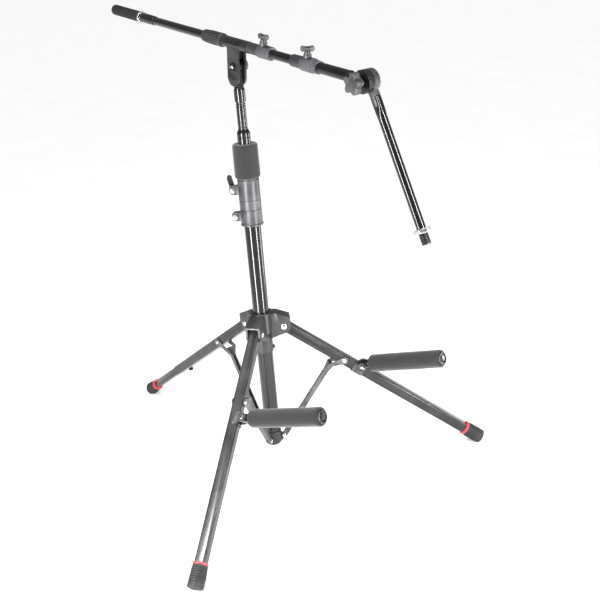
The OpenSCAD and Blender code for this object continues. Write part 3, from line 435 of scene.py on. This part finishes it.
# %% Turn, ease and coat the tubes
ROUND_TUBES = (("mast_tube", mast_up, 1.8), ("boom_tube", boom, 1.5), ("front_tube", boom, 1.4))
RISER_WALL, NECK_R, NECK_LENGTH = 1.5, 9, 54
FINE = 128      # facets round a gloss tube


def groove(at, r, depth):
    """Three points of a rolled groove 2 mm wide, with its bottom at a place along the tube."""
    return [(at - 1, r), (at, r - depth), (at + 1, r)]


for node, place, wall in ROUND_TUBES:
    start, end, r = span(node, place)
    line = rounded([(start, r - wall), (start, r), (end, r), (end, r - wall)], 0.4, 3)
    piece(f"{node}.round", turned(line, FINE, closed=True), place, GLOSS_COAT, node)
riser_low, riser_high, riser_r = span("riser_tube", mast_up)
shoulder = riser_high - NECK_LENGTH
neck_start = shoulder + 7
riser_line = [(riser_low, riser_r - RISER_WALL), (riser_low, riser_r),
              *groove(shoulder - 8, riser_r, 0.9), (shoulder, riser_r), (neck_start, NECK_R),
              *groove(shoulder + 11, NECK_R, 0.7), *groove(riser_high - 3, NECK_R, 0.7),
              (riser_high, NECK_R), (riser_high, NECK_R - RISER_WALL),
              (neck_start, NECK_R - RISER_WALL), (shoulder, riser_r - RISER_WALL)]
riser = turned(rounded(riser_line, 0.8, 3), FINE, closed=True)
piece("riser_necked", riser, mast_up, GLOSS_COAT, "riser_tube")
coat("riser_guide", BLACK_NYLON)
for node in ("leg_tube_left", "leg_tube_right", "leg_tube_rear", "rear_extension"):
    eased(node, SATIN_COAT, 0.5)
for side in SIDES[:2]:
    eased(f"arm_tube_{side}", GLOSS_COAT, 0.6)
coat("tilt_washers", FIBRE)

# %% [markdown]
# ## Mouldings and pressings
# The hub, the clamps and the sleeve are mouldings with eased edges of about a millimetre.
# The struts, the arm brackets and the lower bracket are pressed from sheet, so their edges
# are tighter. Each is a finished copy of its own exact solid.

# %% Hub, brackets, clamps and struts
EASED = {       # node: finish, how far its edges are rounded in mm, in how many steps
    "leg_hub": (BLACK_NYLON, 2.2, 4), "strut_bracket": (BLACK_NYLON, 0.6, 2),
    "hub_screw": (GLOSS_ABS, 0.4, 2),
    "mast_clamp_body": (GREY_NYLON, 0.5, 2), "mast_clamp_bands": (GREY_NYLON, 0.7, 2),
    "mast_clamp_bolts": (ZINC, 0.5, 2), "mast_clamp_lever": (GLOSS_ABS, 1.2, 3),
    "strut_left": (ENAMEL, 0.5, 2), "strut_right": (ENAMEL, 0.5, 2),
    "strut_rear": (ENAMEL, 0.5, 2),
    "arm_bracket_left": (ENAMEL, 0.5, 2), "arm_bracket_right": (ENAMEL, 0.5, 2),
    "arm_bolt_left": (ZINC, 0.5, 2), "arm_bolt_right": (ZINC, 0.5, 2),
    "yoke": (GLOSS_COAT, 0.8, 3), "boom_sleeve": (SATIN_COAT, 0.7, 3),
    "tilt_lever": (GREY_NYLON, 1.2, 3), "boom_clamp": (GREY_NYLON, 0.5, 2),
    "front_clamp": (GREY_NYLON, 0.5, 2), "elbow_base": (GLOSS_ABS, 1.0, 3),
    "elbow_disc": (GREY_NYLON, 1.4, 3), "rear_leg_knob": (GLOSS_ABS, 0.8, 3),
}
for node, (material, edge_mm, segments) in EASED.items():
    eased(node, material, edge_mm, segments)

# %% [markdown]
# ## Rivets
# A rivet's head is a low dome that was pressed over, not a flat disc, and that dome is what
# catches the light. Each head is turned on a short shank and set at its pivot.

# %% Pivot rivets
# Each size is the grip between the heads, the shank, the head and the dome's height, in mm.
HUB_RIVET, BASE_RIVET, FORK_RIVET = (29.8, 7, 12, 2.4), (9.4, 5, 8, 2), (25.8, 5, 9, 2)


def rivet(grip, shank, head, dome):
    """A rivet along X with a dome at each end."""
    rim, top = grip / 2, grip / 2 + dome
    half = [(top, 0), (top - dome * 0.08, head * 0.2), (top - dome * 0.4, head * 0.4),
            (rim + dome * 0.2, head / 2), (rim, head / 2), (rim, shank / 2), (0, shank / 2)]
    return turned(half + [(-x, r) for x, r in reversed(half)], 40)


def box_middle(node):
    corner_low, corner_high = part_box(node)
    return (corner_low + corner_high) / 2


hub_rivets, base_rivets = [], []
for side in SIDES:
    leg_joint, strut_joint = joints[f"leg_{side}_fold"], joints[f"strut_{side}_fold"]
    for found, joint, sizes in ((hub_rivets, leg_joint, HUB_RIVET),
                                (base_rivets, strut_joint, BASE_RIVET)):
        shape = rivet(*sizes)
        shape.transform(basis(joint["pos_m"], joint["axis"], UP))
        found.append(shape)
    fork = basis(box_middle(f"strut_pin_{side}"), leg_joint["axis"], UP)
    piece(f"fork_rivet_{side}", rivet(*FORK_RIVET), fork, ZINC, f"strut_pin_{side}")
piece("hub_rivets", joined(*hub_rivets), Matrix.Identity(4), ZINC, "leg_pivot_pins")
piece("base_rivets", joined(*base_rivets), Matrix.Identity(4), ZINC, "strut_base_pins")

# The tilt bolt shows as a bright end in the middle of a dark plastic washer on the near side.
bolt_low, bolt_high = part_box("tilt_bolt")
tilt = basis(joint_point("boom_tilt"), (1, 0, 0), UP)
left, right = bolt_low.x / MM, bolt_high.x / MM
bolt = rounded([(left + 0.6, 0), (left + 1.2, 3), (left + 2, 3.4), (left + 4, 3.4), (left + 4, 4),
                (right - 3, 4), (right - 3, 6), (right, 6), (right, 0)], 0.4)
piece("tilt_bolt_bright", turned(bolt, 64), tilt, ZINC, "tilt_bolt")
washer = rounded([(left + 4.8, 4.1), (left + 1.4, 4.6), (left + 0.2, 6), (left + 1, 7.2),
                  (left + 4.8, 7.4)], 0.5)
piece("tilt_bolt_washer", turned(washer, 64, closed=True), tilt, GLOSS_ABS, body="boom_sleeve",
      slot=slots.get("tilt_bolt"))

# %% [markdown]
# ## Feet
# Each foot is a flared rubber boot with rings moulded round it for grip, a soft red ring
# above it, and a sole that the floor cuts flat. Cloth or sculpting would be wasted on
# rubber this stiff: it is turned, and then cut by the floor.

# %% Rubber boots and red rings
LEG_WIDTH, REAR_WIDTH, BOOT_LENGTH, SOLE_R = 21, 17.8, 40, 15
for side in SIDES:
    length = leg_lengths[side]
    width = REAR_WIDTH if side == "rear" else LEG_WIDTH
    start, top = length - BOOT_LENGTH, width / 2 + 3.8
    corners = [(start, width / 2 - 1), (start, top), (start + 4, top + 0.2)]
    for i in range(6):
        at = start + 4.5 + i * 4
        r = top + (SOLE_R - top) * (at - start) / BOOT_LENGTH
        corners += [(at, r - 0.8), (at + 0.9, r - 0.8), (at + 1.3, r + 0.5), (at + 3.3, r + 0.7)]
    corners += [(start + 29, SOLE_R - 0.9), (start + 30, SOLE_R), (length - 1, SOLE_R),
                (length, SOLE_R - 1.4), (length, 0)]
    boot = turned(rounded(corners, 0.7, 3), 72)
    boot.transform(legs[side])
    everything = boot.verts[:] + boot.edges[:] + boot.faces[:]
    floor_cut = bmesh.ops.bisect_plane(boot, geom=everything, dist=1e-6, plane_co=(0, 0, 0),
                                       plane_no=UP, clear_inner=True)["geom_cut"]
    sole = [edge for edge in floor_cut if isinstance(edge, bmesh.types.BMEdge)]
    bmesh.ops.edgenet_fill(boot, edges=sole)
    piece(f"boot_{side}", boot, Matrix.Identity(4), RUBBER, f"foot_{side}")
    ring_r = width / 2 + 4.2
    ring_line = [(start - 4, width / 2), (start - 4, ring_r), (start, ring_r), (start, width / 2)]
    ring = turned(rounded(ring_line, 1.1), 64)
    piece(f"red_ring_{side}", ring, legs[side], RED_PVC, f"foot_ring_{side}")

# %% [markdown]
# ## Foam
# The grips and the mast pad are thick foam tube, cut to length with soft ends. Foam is never
# quite round or straight, so each skin is moved by a slow noise of a fraction of a
# millimetre. The cloth solver would balloon a tube; moving the vertices keeps its size.

# %% Foam grips and mast pad
GRIP_BORE, PAD_BORE, PAD_R = 8, 12.6, 24.5


def foam_tube(start, end, bore, outside, seed):
    """A foam tube along X with rounded ends and a slightly uneven skin."""
    rims = rounded([(start, bore), (start, outside), (end, outside), (end, bore)], 7, 8)
    steps = round((end - start) / 4)
    profile = []
    for a, b in zip(rims, rims[1:]):
        many = steps if abs(b[0] - a[0]) > 20 else 1
        profile += [tuple(Vector(a).lerp(Vector(b), i / many)) for i in range(many)]
    profile.append(rims[-1])
    spun = turned(profile, 80, closed=True)
    for v in spun.verts:
        out = Vector((0, v.co.y, v.co.z))
        if out.length > bore + 1:
            stretched = Vector((v.co.x / 30, v.co.y / 14, v.co.z / 14))
            slow = noise.noise(stretched + Vector((seed, 0, 0)))
            fine = noise.noise(v.co / 5 + Vector((0, seed, 0)))
            v.co -= out.normalized() * (0.35 + 0.5 * slow + 0.16 * fine)
    return spun


for side, seed in (("left", 3.1), ("right", 8.4)):
    start, end, r = span(f"arm_grip_{side}", arms[side])
    grip = piece(f"foam_grip_{side}", foam_tube(start, end, GRIP_BORE, r, seed), arms[side], FOAM,
                 f"arm_grip_{side}")
    lip = span(f"arm_cap_{side}", arms[side])[2]
    cap = rounded([(end - 12, 0), (end - 12, 6.3), (end - 0.2, 6.3), (end - 0.2, lip),
                   (end + 2, lip), (end + 3, lip - 1), (end + 3, lip - 2.6),
                   (end + 0.6, lip - 3.4), (end + 0.6, 6.8), (end + 2.6, 6), (end + 2.6, 0)],
                  0.6, 3)
    piece(f"grip_cap_{side}", turned(cap, 64), arms[side], GLOSS_ABS, f"arm_cap_{side}")
pad_low, pad_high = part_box("mast_pad")
pad = piece("foam_mast_pad", foam_tube(pad_low.z / MM, pad_high.z / MM, PAD_BORE, PAD_R, 5.7),
            mast_up, FOAM, "mast_pad")

# %% [markdown]
# ## Twist collar, counterweight and rings
# These were all turned or moulded round. The collar has ridges to grip, which fade out
# towards its ends; the weight has flutes between two plain lands. A ripple in the spin
# draws both, where a boolean cut for each groove would leave ragged edges.

# %% Turned pieces on the boom
def flutes(count, depth, start, end, run=3, power=1):
    """A ripple of lengthwise grooves between two places, fading in and out over a short run."""
    def ripple(x, turn, r):
        fade = max(0, min(1, (x - start) / run, (end - x) / run))
        return r - depth * fade * (0.5 - 0.5 * math.cos(turn * count)) ** power
    return ripple


def dense(profile, step):
    """The same line with points no further apart than the step along X."""
    line = []
    for a, b in zip(profile, profile[1:]):
        many = max(1, math.ceil(abs(b[0] - a[0]) / step))
        line += [tuple(Vector(a).lerp(Vector(b), i / many)) for i in range(many)]
    return line + [profile[-1]]


collar = dense(rounded([(-99, 8.1), (-99, 10), (-96, 11.5), (-73, 12.7), (-41, 12.7), (-38, 11.7),
                        (-38, 10.7), (-57.4, 10.6), (-57.4, 8)], 0.8), 1.5)
ridges = flutes(18, 1.3, -96, -45, 6)
piece("twist_collar", turned(collar, 144, ridges, closed=True), boom, GREY_NYLON, "rear_clutch")

WEIGHT_LENGTH = 104
weight_end = (points_of("counterweight") @ np.array(boom_axis)).min() / MM \
    - boom_axis.dot(boom.translation) / MM
ring_at = weight_end + WEIGHT_LENGTH
weight = dense(rounded([(weight_end, 0), (weight_end, 8.5), (weight_end + 2, 10.5),
                        (weight_end + 102, 10.5), (ring_at, 9.5), (ring_at, 8)], 0.8), 2)
ridges = flutes(20, 0.9, weight_end + 6, weight_end + 97, 4, 2)
piece("counterweight_cover", turned(weight, 160, ridges), boom, RUBBER, "counterweight")
bright = rounded([(ring_at, 8), (ring_at, 11.5), (ring_at + 5, 11.5), (ring_at + 5, 8)], 0.7)
piece("weight_ring", turned(bright, 64), boom, NICKEL, "weight_collar")
sleeve = rounded([(ring_at + 4.8, 8), (ring_at + 4.8, 9.3), (ring_at + 32, 9.3),
                  (ring_at + 54, 8.9), (ring_at + 54, 7.9)], 0.5)
piece("weight_sleeve", turned(sleeve, 64), boom, GLOSS_ABS, body="boom_tube",
      slot=slots.get("weight_collar"))

# %% [markdown]
# ## Knobs
# A wing screw is a handle moulded in one with its stem, and the elbow's star knob is a flat
# head with five lobes on a round boss. Both are drawn as outlines and given thickness, with
# edges rounded enough to turn by hand. A boolean of cylinders would leave hard lines.

# %% Wing screws
def wing(length, height):
    """A handle seen from the side: a bar that swells into a lobe at each end."""
    half = []
    for i in range(13):
        turn = math.radians(-100 + 200 * i / 12)
        half.append((length / 2 - 4 + 4.2 * math.cos(turn), height / 2 + 4.8 * math.sin(turn)))
    middle = [(2, height - 1.2), (-2, height - 1.2)]
    return half + middle + [(-x, z) for x, z in reversed(half)] + [(-2, 0.6), (2, 0.6)]


WING_SCREWS = (     # piece, node, joint, length across the wings in mm, how far it is turned
    ("boom_wing", "boom_clamp_knob", "boom_clamp_knob_turn", 26, 0),
    ("front_wing", "front_clamp_knob", "front_knob_turn", 24, 60),
)
STEM = [(8.3, 0), (8.3, 2.9), (16.4, 2.9), (16.4, 6), (21, 5.2), (23, 4.2), (23, 0)]
for name, node, joint, length, turn in WING_SCREWS:
    at = (joint_point(joint) - boom.translation).dot(boom_axis) / MM
    stem = moved(turned(rounded(STEM, 0.5), 40), turn=(0, -90, 0))
    handle = moved(slab(wing(length, 9), -3, 3, 1.4), (0, 0, 21.4), (0, 0, turn))
    piece(name, moved(joined(stem, handle), (at, 0, 0)), boom, GREY_NYLON, node)

# %% Star knob
def star(lobes, inner, outer, count=90):
    """An outline whose radius swells at each lobe, round on the outside and in the hollows."""
    line = []
    for i in range(count):
        turn = 2 * math.pi * i / count
        swell = 0.5 + 0.5 * math.cos(lobes * turn)
        r = inner + (outer - inner) * swell ** 0.75
        line.append((r * math.cos(turn), r * math.sin(turn)))
    return line


knob_low, knob_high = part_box("elbow_knob")
outer_face = (knob_low.x - elbow.translation.x) / MM
lobe_r = max(math.hypot(*(np.array(q) - np.array(elbow.translation))[1:]) / MM
             for q in points_of("elbow_knob"))
head = slab(star(5, lobe_r * 0.68, lobe_r), outer_face, outer_face + 13, 2, 4)
boss = turned(rounded([(0, 0), (0, 8), (9, 8), (9, 4), (26, 4), (26, 0)], 0.5), 48)
boss = moved(boss, (0, outer_face + 12.6, 0), (0, 0, 90))
piece("star_knob", joined(head, boss), elbow, GREY_NYLON, "elbow_knob")
print("star knob outer face at", round(outer_face, 1), "mm, lobes reach", round(lobe_r, 1), "mm")

# The discs of the elbow part on a bright washer, and the far one wears a bright pressed rim.
thin_low, thin_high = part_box("elbow_washer")
face_a, face_b = ((v.x - elbow.translation.x) / MM for v in (thin_low, thin_high))
across = elbow @ Matrix.Rotation(math.pi / 2, 4, "Z")
disc_r = span("elbow_washer", across)[2]
shim = rounded([(face_a, 4.1), (face_a, disc_r), (face_b, disc_r), (face_b, 4.1)], 0.15)
piece("elbow_shim", turned(shim, 96, closed=True), across, ZINC, "elbow_washer")
rim = rounded([(face_b + 7.6, disc_r), (face_b + 7.6, disc_r + 1.5), (face_b + 9.8, disc_r + 1.5),
               (face_b + 9.8, disc_r)], 0.4)
piece("elbow_rim", turned(rim, 96, closed=True), across, NICKEL, body="end_arm",
      slot=slots.get("elbow_washer"))

# %% [markdown]
# ## End arm and microphone thread
# The end arm's tube is squeezed flat where it grips the elbow, and ends in a chamfered
# hexagon nut and a standard thread. The squeeze is a ripple that fades along the tube. The
# thread's pitch is 0.94 mm; it is drawn at 1.4 mm so that its turns can be seen.

# %% End arm
arm_x = (mounts["mic_thread"]["pos_m"][0] - elbow.translation.x) / MM
ARM_START, NUT_START, NUT_END, STUD_END = 27, 246, 253, 272     # from the elbow's pivot, in mm
ARM_R, ARM_BORE = 7.8, 6.4
print("arm stands", round(arm_x, 1), "mm to the side")


def squeezed(x, turn, r):
    """Flat for the first stretch, then round: thinner across Y, wider along Z."""
    flat = max(0, min(1, (62 - x) / 24))
    flat = flat * flat * (3 - 2 * flat)
    thin, wide = r * (1 - 0.3 * flat), r * (1 + 0.12 * flat)
    box = 2 + 2.5 * flat                 # the section turns from a circle into a rounded box
    sides = (abs(math.cos(turn)) / thin) ** box + (abs(math.sin(turn)) / wide) ** box
    return 1 / sides ** (1 / box)


side_place = elbow @ Matrix.Translation((0, arm_x, 0))
shell = dense(rounded([(ARM_START, ARM_BORE), (ARM_START, ARM_R), (NUT_START, ARM_R),
                       (NUT_START, ARM_BORE)], 0.7), 3)
piece("end_arm_tube", turned(shell, 72, squeezed, closed=True), side_place, GLOSS_COAT, "end_arm")


def thread(pitch, depth, start, end):
    """A ripple of one continuous V thread."""
    def ripple(x, turn, r):
        fade = max(0, min(1, (x - start) / pitch, (end - x) / pitch))
        phase = (x / pitch - turn / (2 * math.pi)) % 1
        return r - depth * fade * abs(2 * phase - 1)
    return ripple


nut_line = rounded([(NUT_START, 6.5), (NUT_START, 12.6), (247.4, 14.6), (251.6, 14.6),
                    (NUT_END, 12.6), (NUT_END, 6.5)], 0.2, 2)
nut = turned(dense(nut_line, 1), 120, hexagon(26), closed=True)
stud_line = [(252.6, 0), (252.6, 7.93), (270.8, 7.93), (STUD_END, 6.9), (STUD_END, 0)]
stud = turned(dense(stud_line, 0.2), 72, thread(1.4, 0.7, NUT_END, STUD_END - 0.5))
piece("stud_nut", nut, side_place, ZINC, "mic_stud")
piece("stud_thread", stud, side_place, BLACK_NYLON, body="end_arm", slot=slots.get("mic_stud"),
      sharp=30)

# %% [markdown]
# ## Floor and light
# The stand stands on a plain pale floor that fills the view, under one broad soft light from
# above. Black coated tube shows mostly what it reflects, so two tall narrow panels stand
# close on either side of the camera, and a low wide one further round: they draw the bright
# lines down the mast, the riser and the end arm. The dim surround keeps the tubes black.

# %% Floor, surround and panels
floor_mesh = bpy.data.meshes.new("floor")
FAR = 30        # half the floor's width in metres
corners = [(-FAR, -FAR, 0), (FAR, -FAR, 0), (FAR, FAR, 0), (-FAR, FAR, 0)]
floor_mesh.from_pydata(corners, [], [(0, 1, 2, 3)])
floor = bpy.data.objects.new("floor", floor_mesh)
bpy.context.scene.collection.objects.link(floor)
PAPER = surface("matt white seamless paper", "#efefef", "#f2f2f2", (0.85, 0.95), 200, 3, 0.01)
floor_mesh.materials.append(PAPER)

world = bpy.data.worlds.new("pale surround")
world.use_nodes = True
world.node_tree.nodes["Background"].inputs["Color"].default_value = linear("#ffffff")
world.node_tree.nodes["Background"].inputs["Strength"].default_value = 0.28
bpy.context.scene.world = world
bpy.context.scene.view_settings.view_transform = "Standard"

sky = bpy.data.lights.new("broad overhead", "SUN")
sky.energy, sky.angle = 2.7, math.radians(70)
overhead = bpy.data.objects.new("broad overhead", sky)
overhead.rotation_euler = (math.radians(12), math.radians(-8), 0)
bpy.context.scene.collection.objects.link(overhead)

TOWARDS_CAMERA = math.atan2(CAMERA_FROM_MAST.y, CAMERA_FROM_MAST.x)
PANELS = (      # name, degrees round from the camera, distance, height, width, tall, watts
    ("right strip", 44, 1.0, 0.65, 0.07, 1.3, 22),
    ("left strip", -38, 1.0, 0.65, 0.09, 1.3, 30),
    ("right far strip", 100, 1.5, 0.3, 0.2, 0.6, 7),
)
for name, degrees, distance, height, width, tall, watts in PANELS:
    lamp = bpy.data.lights.new(name, "AREA")
    lamp.shape, lamp.size, lamp.size_y, lamp.energy = "RECTANGLE", width, tall, watts
    holder = bpy.data.objects.new(name, lamp)
    turn = TOWARDS_CAMERA + math.radians(degrees)
    aim = mast_axis + Vector((0, 0, height))
    holder.location = mast_axis + Vector((distance * math.cos(turn), distance * math.sin(turn),
                                          height))
    holder.rotation_euler = (aim - holder.location).to_track_quat("-Z", "Y").to_euler()
    bpy.context.scene.collection.objects.link(holder)
print("panels:", len(PANELS))
